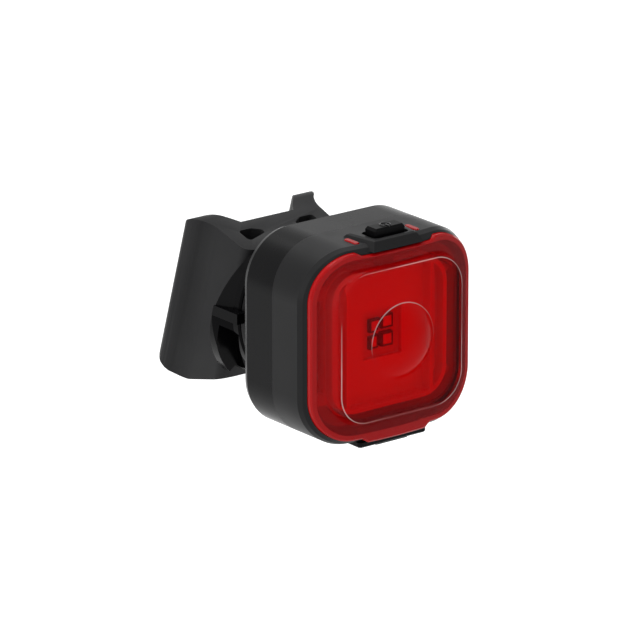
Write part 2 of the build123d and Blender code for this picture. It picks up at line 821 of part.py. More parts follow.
# Mount hub: the glossy wedge that turns the lamp's axis to the leaning post, with a flared ear on
# each side for the strap. The upper half of an ear is a lobe, the lower half a free hooked arm.
hub_radius = 18.2
hub_chamfer = 0.4
ear_radius = 20.3
ear_inner_radius = 15.0
ear_half_angle = 48
lobe_step_inset = 2.1
arm_thickness = 2.2
arm_pocket_depth = 5.2
arm_pocket_inner = 14.6
arm_pocket_start = 4
arm_pocket_sweep = 46
rib_top = 2.6
rib_thickness = 2.4
rib_front_inset = 2.3
rib_reach = 20.4
rib_gap = 0.2
rib_foot = boss_radius + rib_gap
plug_width = 14.0
plug_depth = 1.6
plug_radius = 2.0
lobe_step_depth = boss_end_depth + lobe_step_inset
rib_front_depth = boss_end_depth - rib_front_inset
hub_length = hub_radius * tan(radians(post_lean)) + hub_thickness

with BuildPart() as mount_hub:
    with BuildSketch(across_boss(boss_end_depth)):
        Circle(hub_radius)
    extrude(amount=-hub_length)
    chamfer(mount_hub.faces().sort_by(Axis.Y)[0].edges(), length=hub_chamfer)
    for side in (0, 180):
        with BuildSketch(spoke(side - ear_half_angle)):
            with BuildLine():
                Polyline((ear_inner_radius, lobe_step_depth), (hub_radius, lobe_step_depth),
                         (ear_radius, hub_face_depth), (ear_radius, hub_face_depth + hub_length),
                         (ear_inner_radius, hub_face_depth + hub_length), close=True)
            make_face()
        revolve(axis=boss_axis, revolution_arc=-2 * ear_half_angle)
        out = 1 if side == 0 else -1
        with BuildSketch(level(rib_top - lamp_rise)):
            with Locations((out * (rib_foot + rib_reach) / 2, (rib_front_depth + hub_face_depth) / 2)):
                Rectangle(rib_reach - rib_foot, hub_face_depth - rib_front_depth)
        extrude(amount=-rib_thickness)
    split(bisect_by=hub_face, keep=Keep.BOTTOM)
    with BuildSketch(hub_face.offset(-arm_thickness)):
        for side in (1, -1):
            with BuildLine():
                first = quarter_turn - side * (quarter_turn + arm_pocket_start)
                inner = CenterArc((0, 0), arm_pocket_inner, first, -side * arm_pocket_sweep)
                outer = CenterArc((0, 0), ear_radius + wall, first, -side * arm_pocket_sweep)
                Line(inner @ 0, outer @ 0)
                Line(inner @ 1, outer @ 1)
            make_face()
    extrude(amount=-arm_pocket_depth, mode=Mode.SUBTRACT)
    with BuildSketch(hub_face):
        RectangleRounded(plug_width + 2 * fit_gap, plug_width + 2 * fit_gap, plug_radius)
    extrude(amount=-plug_depth - fit_gap, mode=Mode.SUBTRACT)
    with BuildSketch(across_boss(mount_head_depth)):
        Circle(mount_head_radius + fit_gap)
    extrude(amount=-overrun, mode=Mode.SUBTRACT)
    with BuildSketch(across_boss(mount_head_depth)):
        Circle(mount_screw_radius + fit_gap)
    extrude(amount=overrun, mode=Mode.SUBTRACT)

# Mount pad: the rubber saddle that lies between the hub and the seatpost. Its section is one
# profile with a floor, two flared wings and two triangular openings. From the side its foot is
# cut slanting and the wings' corners are round.
pad_top = 15.2
pad_floor_half = 7.4
pad_front_half = 10.2
pad_foot_front = -18.7
pad_foot_slope = 31
pad_back = 19.6
wing_leg_round = 2.4
wing_top_radius = 4.0
wing_foot_radius = 5.4
web_round = 0.9
wing_points = {
    "leg_front": (12.2, 0.5), "leg_side": (13.8, 2.4), "waist": (14.1, 9.5), "flare_middle": (14.5, 12.2),
    "flare_end": (15.6, 14.3), "cheek_middle": (16.7, 15.8), "tip_side": (17.3, 17.5), "tip": (15.6, 19.5),
    "tip_inner": (13.4, 19.0), "bevel": (8.8, 13.2),
}
hole_points = [(10.3, 3.7), (10.4, 8.1), (6.8, 8.0), (3.4, 5.9)]

with BuildPart() as mount_pad:
    with BuildSketch(along_post(pad_top)):
        with BuildLine():
            Line((0, 0), (pad_front_half, 0))
            Line((pad_front_half, 0), wing_points["leg_front"])
            RadiusArc(wing_points["leg_front"], wing_points["leg_side"], -wing_leg_round)
            Line(wing_points["leg_side"], wing_points["waist"])
            ThreePointArc(wing_points["waist"], wing_points["flare_middle"], wing_points["flare_end"])
            ThreePointArc(wing_points["flare_end"], wing_points["cheek_middle"], wing_points["tip_side"])
            ThreePointArc(wing_points["tip_side"], wing_points["tip"], wing_points["tip_inner"])
            Line(wing_points["tip_inner"], wing_points["bevel"])
            Line(wing_points["bevel"], (pad_floor_half, saddle_depth))
            Line((pad_floor_half, saddle_depth), (0, saddle_depth))
            mirror(about=Plane.YZ)
        make_face()
        for way in (1, -1):
            with BuildLine():
                FilletPolyline(*[(way * x, y) for x, y in hole_points], radius=web_round, close=True)
            make_face(mode=Mode.SUBTRACT)
    extrude(amount=-2 * overrun)
    with BuildSketch(beside_post(-pad_back)) as side_view:
        foot_back = pad_foot_front - pad_back * tan(radians(pad_foot_slope))
        with BuildLine():
            Polyline((0, pad_top), (pad_back, pad_top), (pad_back, foot_back), (0, pad_foot_front),
                     close=True)
        make_face()
        fillet(side_view.vertices().group_by(Axis.X)[-1].sort_by(Axis.Y)[0], radius=wing_foot_radius)
        fillet(side_view.vertices().group_by(Axis.Y)[-1].sort_by(Axis.X)[-1], radius=wing_top_radius)
    extrude(amount=2 * pad_back, mode=Mode.INTERSECT)
    with BuildSketch(hub_face):
        RectangleRounded(plug_width, plug_width, plug_radius)
    extrude(amount=-plug_depth)

nodes = {
    "front_cover": front_cover, "rear_shell": rear_shell, "lens": lens, "lens_gasket": lens_gasket,
    "light_tray": light_tray, "tray_pins": tray_pins, "main_leds": main_leds, "status_leds": status_leds,
    "led_board": led_board, "heat_spreader": heat_spreader, "board_header": board_header,
    "main_board": main_board, "board_chips": board_chips, "button_switch": button_switch,
    "switch_plunger": switch_plunger, "power_button": power_button,
    "status_window_left": status_window_left, "status_window_right": status_window_right,
    "port_shell": port_shell, "port_tongue": port_tongue, "port_flap": port_flap, "port_anchor": port_anchor,
    "case_seal": case_seal, "case_screws": case_screws, "battery_cell": battery_cell,
    "battery_pad": battery_pad, "mount_insert": mount_insert, "mount_screw": mount_screw,
    "mount_hub": mount_hub, "mount_pad": mount_pad,
}
os.makedirs("parts", exist_ok=True)
for name, piece in nodes.items():
    piece.part.label = name
    export_step(piece.part, f"parts/{name}.step")
    print(name, piece.part.is_valid, len(piece.part.solids()), round(piece.part.volume, 1))
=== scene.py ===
import math

import bmesh
import bpy
from mathutils import Matrix, Vector


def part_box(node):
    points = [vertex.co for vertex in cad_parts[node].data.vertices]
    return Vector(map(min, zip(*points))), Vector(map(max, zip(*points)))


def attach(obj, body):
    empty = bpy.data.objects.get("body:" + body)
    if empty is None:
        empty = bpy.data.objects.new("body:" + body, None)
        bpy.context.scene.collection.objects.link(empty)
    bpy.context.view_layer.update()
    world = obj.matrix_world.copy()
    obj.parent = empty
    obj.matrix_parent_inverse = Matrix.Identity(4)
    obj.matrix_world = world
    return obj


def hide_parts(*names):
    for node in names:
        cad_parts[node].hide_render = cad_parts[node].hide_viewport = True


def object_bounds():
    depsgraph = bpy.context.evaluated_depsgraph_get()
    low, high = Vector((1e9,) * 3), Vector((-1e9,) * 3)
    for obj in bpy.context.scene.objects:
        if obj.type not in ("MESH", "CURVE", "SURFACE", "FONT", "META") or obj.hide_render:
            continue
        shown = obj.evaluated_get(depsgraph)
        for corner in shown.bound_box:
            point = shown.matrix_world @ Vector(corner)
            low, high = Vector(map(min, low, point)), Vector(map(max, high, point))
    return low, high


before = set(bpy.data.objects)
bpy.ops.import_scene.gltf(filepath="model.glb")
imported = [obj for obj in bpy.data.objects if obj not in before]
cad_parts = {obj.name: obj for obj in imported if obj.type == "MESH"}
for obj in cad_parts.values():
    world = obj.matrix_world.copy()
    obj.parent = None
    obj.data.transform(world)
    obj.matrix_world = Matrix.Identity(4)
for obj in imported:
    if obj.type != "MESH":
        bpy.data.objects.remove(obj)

cad_low, cad_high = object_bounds()

# Camera: the lamp seen from its left front, a little from above, from far off.
# The eye goes to the red lens, so the camera is placed from that piece's box. Its flange is 1.6 mm
# deep at the sides, and its middle lies 21.4 mm under its top and 1.1 mm over the mount's axis.
MM = 0.001
lens_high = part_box("lens")[1]
lens_flange = 1.6 * MM
lens_half_height = 21.4 * MM
lens_over_mount = 1.1 * MM
rim_y = lens_high.y - lens_flange
lens_z = lens_high.z - lens_half_height
mount_z = lens_z - lens_over_mount
view_azimuth = math.radians(-38.0)
view_elevation = math.radians(18.2)
view_width = 142.2 * MM
view_lens = 350.0
view_sensor = 36.0
view_reach = 20.0
view_depth = 25.0 * MM
view_drop = 1.8 * MM
view_centre = Vector((0.0, rim_y + view_depth, mount_z - view_drop))
view_away = Vector((
    math.sin(view_azimuth) * math.cos(view_elevation),
    -math.cos(view_azimuth) * math.cos(view_elevation),
    math.sin(view_elevation),
))
camera_data = bpy.data.cameras.new("camera")
camera_data.lens = view_lens
camera_data.sensor_width = view_sensor
camera_data.clip_end = view_reach
camera = bpy.data.objects.new("camera", camera_data)
bpy.context.scene.collection.objects.link(camera)
camera.location = view_centre + view_away * (view_width * view_lens / view_sensor)
camera.rotation_euler = view_away.to_track_quat("Z", "Y").to_euler()
bpy.context.scene.camera = camera
bpy.context.scene.view_settings.view_transform = "Standard"


# Studio: white all round to the eye, and less to what falls on the lamp.
# The white is what camera, glossy and transmitted rays meet, so gloss and lens show the
# background, and matt surfaces get a plain fill.
def linear(text):
    """The linear colour of an sRGB hex value, with alpha 1."""
    channels = [int(text[i:i + 2], 16) / 255 for i in (0, 2, 4)]
    return [c / 12.92 if c <= 0.04045 else ((c + 0.055) / 1.055) ** 2.4 for c in channels] + [1.0]


def add_node(tree, kind, settings=None, links=None):
    """A node with its attributes or input values, and its inputs linked from other sockets."""
    node = tree.nodes.new(kind)
    for name, value in (settings or {}).items():
        if isinstance(name, str) and hasattr(node, name) and name not in node.inputs:
            setattr(node, name, value)
        else:
            node.inputs[name].default_value = value
    for name, socket in (links or {}).items():
        tree.links.new(socket, node.inputs[name])
    return node


def seen_white(tree):
    """1 for the rays that meet the white background: camera, glossy and transmitted ones."""
    rays = add_node(tree, "ShaderNodeLightPath")
    direct = add_node(tree, "ShaderNodeMath", {"operation": "MAXIMUM"},
                      {0: rays.outputs["Is Camera Ray"], 1: rays.outputs["Is Transmission Ray"]})
    return add_node(tree, "ShaderNodeMath", {"operation": "MAXIMUM"},
                    {0: direct.outputs[0], 1: rays.outputs["Is Glossy Ray"]}).outputs[0]


white_strength = 1.0
fill_strength = 0.42
world = bpy.data.worlds.new("studio_white")
bpy.context.scene.world = world
world.use_nodes = True
world_tree = world.node_tree
world_tree.nodes.clear()
fill = add_node(world_tree, "ShaderNodeBackground",
                {"Color": linear("FFFFFF"), "Strength": fill_strength})
white = add_node(world_tree, "ShaderNodeBackground",
                 {"Color": linear("FFFFFF"), "Strength": white_strength})
sky = add_node(world_tree, "ShaderNodeMixShader", {},
               {0: seen_white(world_tree), 1: fill.outputs[0], 2: white.outputs[0]})
add_node(world_tree, "ShaderNodeOutputWorld", {}, {"Surface": sky.outputs[0]})

# Floor: a matt paper sweep well below the lamp, which hangs on its post over it.
# To the eye the paper glows up to white, and only the lamp's soft shadow stays on it.
floor_drop = 60 * MM
floor_size = 6.0
paper_glow = 0.45
floor_mesh = bpy.data.meshes.new("floor")
floor_bm = bmesh.new()
bmesh.ops.create_grid(floor_bm, x_segments=1, y_segments=1, size=floor_size)
bmesh.ops.translate(floor_bm, verts=floor_bm.verts, vec=(0, 0, cad_low.z - floor_drop))
floor_bm.to_mesh(floor_mesh)
floor_bm.free()
floor = bpy.data.objects.new("floor", floor_mesh)
bpy.context.scene.collection.objects.link(floor)
paper = bpy.data.materials.new("paper_matt_white")
paper.use_nodes = True
paper_tree = paper.node_tree
paper_tree.nodes.clear()
matt = add_node(paper_tree, "ShaderNodeBsdfDiffuse", {"Color": linear("F2F2F2")})
glow = add_node(paper_tree, "ShaderNodeEmission", {"Color": linear("FFFFFF"), "Strength": paper_glow})
lifted = add_node(paper_tree, "ShaderNodeAddShader", {}, {0: matt.outputs[0], 1: glow.outputs[0]})
sheet = add_node(paper_tree, "ShaderNodeMixShader", {},
                 {0: seen_white(paper_tree), 1: matt.outputs[0], 2: lifted.outputs[0]})
add_node(paper_tree, "ShaderNodeOutputMaterial", {}, {"Surface": sheet.outputs[0]})
floor_mesh.materials.append(paper)

# Three soft panels: over the lamp, beside its left and behind on its right.
# Each has its place from the lamp and its size in metres, and its power in watts.
panels = {
    "panel_top": ((-0.10, 0.10, 0.80), (1.40, 1.00), 6.0),
    "panel_left": ((-0.85, 0.05, 0.10), (0.90, 1.10), 4.5),
    "panel_back": ((0.80, 0.42, 0.05), (0.50, 0.30), 1.2),
}
for name, (place, size, power) in panels.items():
    lamp_data = bpy.data.lights.new(name, "AREA")
    lamp_data.shape = "RECTANGLE"
    lamp_data.size, lamp_data.size_y = size
    lamp_data.energy = power
    panel = bpy.data.objects.new(name, lamp_data)
    bpy.context.scene.collection.objects.link(panel)
    panel.location = view_centre + Vector(place)
    panel.rotation_euler = Vector(place).to_track_quat("Z", "Y").to_euler()


# Front cover: the matt half of the case, glass-filled nylon from a spark-eroded mould.
# The fine grain scatters every highlight, so the cover reads as soft dark grey. Specular levels are
# low on this and every other black piece that shows: the white all round would turn them pale.
patch_mm = 15
patch_low = 0.35
patch_high = 0.65
grain_strength = 0.5


def start_material(name):
    """A new material, its tree, its Principled shader and its Object coordinates."""
    material = bpy.data.materials.new(name)
    material.use_nodes = True
    tree = material.node_tree
    place = add_node(tree, "ShaderNodeTexCoord").outputs["Object"]
    return material, tree, tree.nodes["Principled BSDF"], place


def finished(name, colour, roughness, spread, grain_mm, depth_mm, specular, metallic=0.0):
    """One colour, with patches of more and less gloss and a fine grain in relief."""
    material, tree, shader, place = start_material(name)
    shader.inputs["Base Color"].default_value = linear(colour)
    shader.inputs["Specular IOR Level"].default_value = specular
    shader.inputs["Metallic"].default_value = metallic
    grain = add_node(tree, "ShaderNodeTexNoise", {"Scale": 1 / (grain_mm * MM), "Detail": 3.0},
                     {"Vector": place})
    patches = add_node(tree, "ShaderNodeTexNoise", {"Scale": 1 / (patch_mm * MM), "Detail": 2.0},
                       {"Vector": place})
    gloss = add_node(tree, "ShaderNodeMapRange", {
        "From Min": patch_low, "From Max": patch_high,
        "To Min": roughness - spread, "To Max": roughness + spread,
    }, {"Value": patches.outputs["Fac"]})
    relief = add_node(tree, "ShaderNodeBump", {"Strength": grain_strength, "Distance": depth_mm * MM},
                      {"Height": grain.outputs["Fac"]})
    tree.links.new(gloss.outputs[0], shader.inputs["Roughness"])
    tree.links.new(relief.outputs[0], shader.inputs["Normal"])
    return material


def dress(node, material):
    """Gives a CAD node its material."""
    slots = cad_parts[node].data.materials
    slots.clear()
    slots.append(material)


dress("front_cover", finished("nylon_spark_grain", "121213", roughness=0.42, spread=0.04,
                              grain_mm=0.35, depth_mm=0.012, specular=0.13))

# Rear shell: the satin half of the case, the same nylon from a smoother mould.
# It is screwed to the cover from behind and shows the panels as soft bands.
dress("rear_shell", finished("nylon_satin", "0C0C0D", roughness=0.26, spread=0.03,
                             grain_mm=0.6, depth_mm=0.004, specular=0.07))

# Case seal: the thin silicone ring in the seam, moulded, and pressed between the two halves.
# It only shows as a dark line.
dress("case_seal", finished("silicone_seal", "0B0B0C", roughness=0.55, spread=0.03,
                            grain_mm=0.4, depth_mm=0.004, specular=0.1))

# Screws: blackened steel, four sunk in the shell's back and one in the hub.
# The oxide leaves them a dull dark metal, a little lighter than the plastic round them.
blackened_steel = finished("steel_black_oxide", "3A3B3D", roughness=0.32, spread=0.05,
                           grain_mm=0.25, depth_mm=0.003, specular=0.5, metallic=1.0)
dress("case_screws", blackened_steel)
dress("mount_screw", blackened_steel)

# Mount hub: the wedge with the strap's ears, moulded in black acetal with a polished face.
# It is the smoothest black piece, and so black that little but its edges shows.
dress("mount_hub", finished("acetal_polished", "080809", roughness=0.20, spread=0.02,
                            grain_mm=0.8, depth_mm=0.002, specular=0.04))

# Mount pad: the saddle, compression-moulded in matt rubber, pressed on the hub's face.
# Its skin is dull with a fine even pebble. It is the CAD piece's own form with its edges rounded off
# and the wings' free corners cut to wide rounds.
weld_distance = 0.001 * MM
flat_turn = math.radians(0.5)
plane_distance = 0.0001 * MM
sharp_turn = math.radians(35)
shade_turn = math.radians(28)
edge_steps = 2


def softened(node, edge, rounds=()):
    """A copy of a CAD node as whole faces, cut by rounds and with its sharp edges rounded off."""
    bm = bmesh.new()
    bm.from_mesh(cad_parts[node].data)
    bmesh.ops.remove_doubles(bm, verts=bm.verts, dist=weld_distance)
    bmesh.ops.dissolve_limit(bm, angle_limit=flat_turn, verts=bm.verts, edges=bm.edges)
    for spot, out in rounds:
        cut = bmesh.ops.bisect_plane(bm, geom=bm.verts[:] + bm.edges[:] + bm.faces[:],
                                     dist=plane_distance, plane_co=spot, plane_no=out, clear_outer=True)
        rim = [e for e in cut["geom_cut"] if isinstance(e, bmesh.types.BMEdge) and len(e.link_faces) == 1]
        bmesh.ops.holes_fill(bm, edges=rim, sides=0)
    sharp = [e for e in bm.edges if len(e.link_faces) == 2 and e.calc_face_angle() > sharp_turn]
    bmesh.ops.bevel(bm, geom=sharp, offset=edge, affect="EDGES", segments=edge_steps, profile=0.5,
                    clamp_overlap=True, material=-1)
    bmesh.ops.recalc_face_normals(bm, faces=bm.faces)
    mesh = bpy.data.meshes.new(node + "_soft")
    bm.to_mesh(mesh)
    bm.free()
    mesh.shade_smooth()
    mesh.set_sharp_from_angle(angle=shade_turn)
    piece = bpy.data.objects.new(node + "_soft", mesh)
    bpy.context.scene.collection.objects.link(piece)
    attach(piece, "body")
    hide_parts(node)
    return piece


pad_edge = 0.4 * MM
pad_depth = 38.0 * MM
post_lean = math.radians(17)
pad_middle = Vector((0, rim_y + pad_depth, mount_z))
along_post = Vector((0, -math.sin(post_lean), math.cos(post_lean)))
to_post = Vector((0, math.cos(post_lean), math.sin(post_lean)))
wing_back = 19.5 * MM
wing_top = 15.2 * MM
foot_front = -18.7 * MM
foot_slope = math.radians(31)
top_round = 5.0 * MM
foot_round = 6.6 * MM
round_steps = 12
quarter_turn = math.radians(90)


def round_planes(height, back, radius, last):
    """Planes round a wing's corner, from the wing's back edge to its end edge."""
    planes = []
    for step in range(round_steps):
        turn = last * (step + 0.5) / round_steps
        out = to_post * math.cos(turn) + along_post * math.sin(turn)
        planes.append((pad_middle + along_post * height + to_post * back + out * radius, out))
    return planes


foot_back = wing_back - foot_round
foot_height = foot_front + (foot_round - foot_back * math.sin(foot_slope)) / math.cos(foot_slope)
pad = softened("mount_pad", pad_edge, (
    round_planes(wing_top - top_round, wing_back - top_round, top_round, quarter_turn)
    + round_planes(foot_height, foot_back, foot_round, -quarter_turn - foot_slope)))
pad.data.materials.append(finished("rubber_matt", "1E1E1F", roughness=0.56, spread=0.05,
                                   grain_mm=0.3, depth_mm=0.012, specular=0.16))

# Mount insert: a knurled brass bush, turned, and moulded into the boss for the hub's screw.
# It keeps the yellow of bare brass.
dress("mount_insert", finished("brass_turned", "C9A24E", roughness=0.30, spread=0.05,
                               grain_mm=0.3, depth_mm=0.004, specular=0.5, metallic=1.0))

# Power button: the key and its skirt, moulded in one piece of silicone rubber.
# A power symbol, open at its top, stands 0.2 mm proud on the key.
dress("power_button", finished("silicone_key", "080809", roughness=0.34, spread=0.04,
                               grain_mm=0.3, depth_mm=0.005, specular=0.04))
key_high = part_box("power_button")[1]
symbol_behind_rim = 2.0 * MM
symbol_radius = 1.15 * MM
symbol_line = 0.2 * MM
symbol_gap = math.radians(70)
symbol_sides = 10
symbol_steps = 40
bar_length = 1.3 * symbol_radius
bar_place = 0.75 * symbol_radius
bar_round = 0.35 * symbol_line
bar_steps = 3
symbol_bm = bmesh.new()
ring_start = Matrix.Rotation(symbol_gap / 2, 4, "Z") @ Matrix.Translation((0, -symbol_radius, 0))
bmesh.ops.create_circle(symbol_bm, segments=symbol_sides, radius=symbol_line, cap_ends=True,
                        matrix=ring_start @ Matrix.Rotation(quarter_turn, 4, "Y"))
bmesh.ops.spin(symbol_bm, geom=symbol_bm.faces[:], cent=(0, 0, 0), axis=(0, 0, 1),
               angle=2 * math.pi - symbol_gap, steps=symbol_steps, use_merge=False)
bar_size = (2 * symbol_line, bar_length, 2 * symbol_line, 1)
bar_made = bmesh.ops.create_cube(symbol_bm, size=1.0, matrix=(
    Matrix.Translation((0, -bar_place, 0)) @ Matrix.Diagonal(bar_size)))
bar_edges = list({e for v in bar_made["verts"] for e in v.link_edges})
bmesh.ops.bevel(symbol_bm, geom=bar_edges, offset=bar_round, affect="EDGES", segments=bar_steps,
                profile=0.5, material=-1)
bmesh.ops.recalc_face_normals(symbol_bm, faces=symbol_bm.faces[:])
bmesh.ops.translate(symbol_bm, verts=symbol_bm.verts, vec=(0, rim_y + symbol_behind_rim, key_high.z))
symbol_mesh = bpy.data.meshes.new("power_symbol")
symbol_bm.to_mesh(symbol_mesh)
symbol_bm.free()
symbol_mesh.shade_smooth()
symbol = bpy.data.objects.new("power_symbol", symbol_mesh)
bpy.context.scene.collection.objects.link(symbol)
symbol_mesh.materials.append(finished("silicone_key_polished", "1A1A1C", roughness=0.22, spread=0.03,
                                      grain_mm=0.3, depth_mm=0.003, specular=0.2))
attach(symbol, "button")

# Port flap and its anchor: soft silicone, moulded in one and hinged along the thin back edge.
# The skin is smooth and black like the key's.
silicone_flap = finished("silicone_flap", "0A0A0B", roughness=0.34, spread=0.04,
                         grain_mm=0.35, depth_mm=0.004, specular=0.06)
dress("port_flap", silicone_flap)
dress("port_anchor", silicone_flap)

# Charging port: a deep-drawn shell of nickelled steel round a black plastic tongue.
# Both show only when the flap hangs open.
dress("port_shell", finished("steel_nickelled", "C4C6C8", roughness=0.24, spread=0.04,
                             grain_mm=0.5, depth_mm=0.002, specular=0.5, metallic=1.0))
dress("port_tongue", finished("nylon_tongue", "101010", roughness=0.5, spread=0.03,
                              grain_mm=0.4, depth_mm=0.003, specular=0.4))

# Lens gasket: a flat silicone ring under the lens's rim, moulded in dark grey.
# Through the lens it gives the dark band between the rim and the tray.
dress("lens_gasket", finished("silicone_gasket", "4A4A4C", roughness=0.6, spread=0.03,
                              grain_mm=0.4, depth_mm=0.004, specular=0.2))

# Light tray and its pins: white polycarbonate, moulded, the reflector for the diodes.
# The lens turns its white into the lamp's even red.
tray_white = finished("polycarbonate_white", "E8E6E0", roughness=0.35, spread=0.04,
                      grain_mm=0.5, depth_mm=0.004, specular=0.2)
dress("light_tray", tray_white)
dress("tray_pins", tray_white)

# Diodes: ceramic packages, soldered on, with a yellow phosphor window on top.
# A dark frame round each window sets the four of them apart behind the lens.
diode_offset = 1.95 * MM
phosphor_half = 1.05 * MM
phosphor_grain = 0.6 * MM
diode_roughness = 0.4


def folded(tree, place):
    """A place taken from the lens's middle, with each side folded onto one quarter."""
    moved = add_node(tree, "ShaderNodeVectorMath", {"operation": "SUBTRACT", 1: (0, 0, lens_z)}, {0: place})
    return add_node(tree, "ShaderNodeVectorMath", {"operation": "ABSOLUTE"}, {0: moved.outputs[0]}).outputs[0]


def square_reach(tree, place):
    """How far out a place lies on a square: the larger of its X and Z."""
    axes = add_node(tree, "ShaderNodeSeparateXYZ", {}, {0: place})
    return add_node(tree, "ShaderNodeMath", {"operation": "MAXIMUM"},
                    {0: axes.outputs["X"], 1: axes.outputs["Z"]}).outputs[0]


diode_package, diode_tree, diode_shader, diode_place = start_material("ceramic_phosphor")
diode_shader.inputs["Roughness"].default_value = diode_roughness
phosphor = add_node(diode_tree, "ShaderNodeTexNoise", {"Scale": 1 / phosphor_grain}, {"Vector": diode_place})
phosphor_colour = add_node(diode_tree, "ShaderNodeMixRGB",
                           {"Color1": linear("D8B84A"), "Color2": linear("F0E2A0")},
                           {"Fac": phosphor.outputs["Fac"]})
diode_own = add_node(diode_tree, "ShaderNodeVectorMath", {
    "operation": "SUBTRACT", 1: (diode_offset, 0, diode_offset),
}, {0: folded(diode_tree, diode_place)})
diode_reach = add_node(diode_tree, "ShaderNodeVectorMath", {"operation": "ABSOLUTE"},
                       {0: diode_own.outputs[0]})
on_frame = add_node(diode_tree, "ShaderNodeMath", {"operation": "GREATER_THAN", 1: phosphor_half},
                    {0: square_reach(diode_tree, diode_reach.outputs[0])})
diode_colour = add_node(diode_tree, "ShaderNodeMixRGB", {"Color2": linear("08080A")},
                        {"Fac": on_frame.outputs[0], "Color1": phosphor_colour.outputs[0]})
diode_tree.links.new(diode_colour.outputs[0], diode_shader.inputs["Base Color"])
dress("main_leds", diode_package)
dress("status_leds", diode_package)

# Diode board: an aluminium core under a black solder mask, with a white printed patch in its middle.
# Only the patch and the diodes show through the lens.
white_patch = 6.0 * MM
board_mask = finished("solder_mask_black", "1C1C1E", roughness=0.35, spread=0.05,
                      grain_mm=0.5, depth_mm=0.004, specular=0.4)
mask_tree = board_mask.node_tree
mask_place = add_node(mask_tree, "ShaderNodeTexCoord").outputs["Object"]
in_patch = add_node(mask_tree, "ShaderNodeMath", {"operation": "LESS_THAN", 1: white_patch},
                    {0: square_reach(mask_tree, folded(mask_tree, mask_place))})
mask_colour = add_node(mask_tree, "ShaderNodeMixRGB",
                       {"Color1": linear("1C1C1E"), "Color2": linear("D8D6D0")},
                       {"Fac": in_patch.outputs[0]})
mask_tree.links.new(mask_colour.outputs[0], mask_tree.nodes["Principled BSDF"].inputs["Base Color"])
dress("led_board", board_mask)

# Heat spreader: a stamped aluminium plate, brushed, behind the diode board.
# The case hides it. It is a plain pale metal.
dress("heat_spreader", finished("aluminium_brushed", "B8BABC", roughness=0.38, spread=0.06,
                                grain_mm=0.3, depth_mm=0.004, specular=0.5, metallic=1.0))

# Main board and what it carries: green laminate, black moulded chips, header and switch.
# The switch's plunger is natural acetal, a milky white.
dress("main_board", finished("laminate_green", "0B4A26", roughness=0.35, spread=0.05,
                             grain_mm=0.7, depth_mm=0.004, specular=0.45))
epoxy_black = finished("epoxy_black", "161617", roughness=0.5, spread=0.04,
                       grain_mm=0.3, depth_mm=0.004, specular=0.35)
for small in ("board_chips", "board_header", "button_switch"):
    dress(small, epoxy_black)
dress("switch_plunger", finished("acetal_natural", "DDD8CC", roughness=0.4, spread=0.04,
                                 grain_mm=0.4, depth_mm=0.003, specular=0.4))

# Battery: a pouch cell in aluminium-foil laminate, held by a pad of grey foam.
# The foil is slightly crumpled and the foam is open-celled and dull.
dress("battery_cell", finished("foil_laminate", "B4B6B8", roughness=0.36, spread=0.08,
                               grain_mm=2.5, depth_mm=0.05, specular=0.5, metallic=0.8))
dress("battery_pad", finished("foam_grey", "3C3D40", roughness=0.9, spread=0.04,
                              grain_mm=0.8, depth_mm=0.15, specular=0.1))

# Lens: one moulding of clear red polycarbonate: flange, raised plateau and dome, polished all over.
# Its middle is clear, and what lies behind shows dark and saturated, because light passes the red
# twice. Its outer edge shows an even red band round the rim. That band is a painted glow: a milky red
# shader is laid on the rim and stands in for the light that the edge gathers.
lens_width = 44.4 * MM
lens_corner = 10.6 * MM
rim_band = 1.3 * MM
band_fade = 0.1 * MM
milkiness = 0.10
flange_band = 5.2 * MM
flange_fade = 0.6 * MM
flange_milkiness = 0.45
haze_size = 6 * MM
polish_finest = 0.01
polish_dullest = 0.04
out_of_depth = 1.0
# Real polycarbonate has an IOR of 1.58. The 1.06 here stands in for a thin hollow dome, because the
# CAD piece's dome is solid and would bend what lies behind it like a thick lens.
lens_ior = 1.06
lens_coat = 0.06
coat_roughness = 0.02
lens_red, lens_tree, lens_clear, lens_place = start_material("polycarbonate_red_clear")
lens_clear.inputs["Base Color"].default_value = linear("E8030A")
lens_clear.inputs["Transmission Weight"].default_value = 1.0
lens_clear.inputs["IOR"].default_value = lens_ior
lens_clear.inputs["Coat Weight"].default_value = lens_coat
lens_clear.inputs["Coat Roughness"].default_value = coat_roughness
lens_haze = add_node(lens_tree, "ShaderNodeTexNoise", {"Scale": 1 / haze_size, "Detail": 1.0},
                     {"Vector": lens_place})
lens_polish = add_node(lens_tree, "ShaderNodeMapRange", {
    "From Min": patch_low, "From Max": patch_high, "To Min": polish_finest, "To Max": polish_dullest,
}, {"Value": lens_haze.outputs["Fac"]})
lens_tree.links.new(lens_polish.outputs[0], lens_clear.inputs["Roughness"])
# Painted glow and milkiness: this milky red shader covers the rim band wholly as a painted glow, and is mixed
# in at smaller shares over the flange and the middle as the plastic's milkiness.
lens_milk_and_painted_glow = add_node(lens_tree, "ShaderNodeBsdfPrincipled", {
    "Base Color": linear("BE0308"), "Roughness": 0.12, "Specular IOR Level": 0.02,
    "Transmission Weight": 0.25,
})
lens_quarter = folded(lens_tree, lens_place)


def corner_reach(half_width, half_height, corner):
    """How far a place lies from the corner's centre of a rounded square, and 0 well inside it."""
    past = add_node(lens_tree, "ShaderNodeVectorMath", {
        "operation": "SUBTRACT", 1: (half_width - corner, out_of_depth, half_height - corner),
    }, {0: lens_quarter})
    over = add_node(lens_tree, "ShaderNodeVectorMath", {"operation": "MAXIMUM", 1: (0, 0, 0)},
                    {0: past.outputs[0]})
    return add_node(lens_tree, "ShaderNodeVectorMath", {"operation": "LENGTH"},
                    {0: over.outputs[0]}).outputs["Value"]


